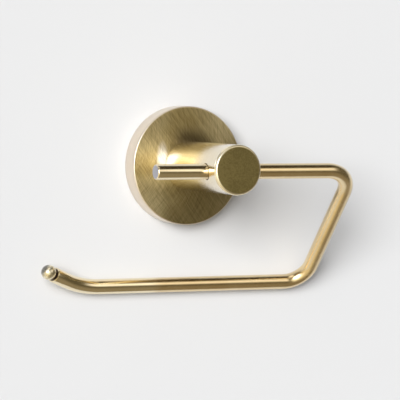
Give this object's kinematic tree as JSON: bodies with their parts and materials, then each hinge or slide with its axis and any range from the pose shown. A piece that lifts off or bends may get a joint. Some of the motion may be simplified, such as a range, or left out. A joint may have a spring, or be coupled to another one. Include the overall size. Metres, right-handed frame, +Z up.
{
  "type": "toilet paper holder",
  "caption": "Wall-mounted toilet paper holder: round rose, stout round post and a bent rod arm that pivots through the post and ends in an upturned tip with a ball.",
  "frame": {"origin": "centre of the rose on the wall plane", "axes": "+Z up the wall, +Y into the wall, +X to the right as seen from in front of the wall; the post stands out along -Y"},
  "size_m": [0.1616, 0.071, 0.0992],
  "materials": {
    "rose_brass": "hand-brushed satin brass under clear lacquer",
    "post_brass": "fine satin brass",
    "cap_brass": "satin brass, finely turned",
    "arm_brass": "smooth satin brass with a soft gloss",
    "bare_brass": "as turned, unseen",
    "cast_zinc": "die-cast zinc alloy, tumbled",
    "screw_steel": "plain stainless steel"
  },
  "bodies": {
    "fixed_post": {"wall_bracket": "cast_zinc", "rose": "rose_brass", "rose_set_screw": "screw_steel", "post_tube": "post_brass", "front_cap": "cap_brass", "pivot_block": "bare_brass", "base_plug": "bare_brass", "post_washer": "screw_steel", "post_screw": "screw_steel", "arm_set_screw": "screw_steel"},
    "swing_arm": {"arm": "arm_brass", "ball_finial": "arm_brass"}
  },
  "joints": [
    {"name": "arm_swing", "type": "hinge", "parent": "fixed_post", "child": "swing_arm", "pos_m": [0, -0.0584, -0.0012], "axis": [-1, 0, 0], "range_deg": [0, 261]}
  ]
}
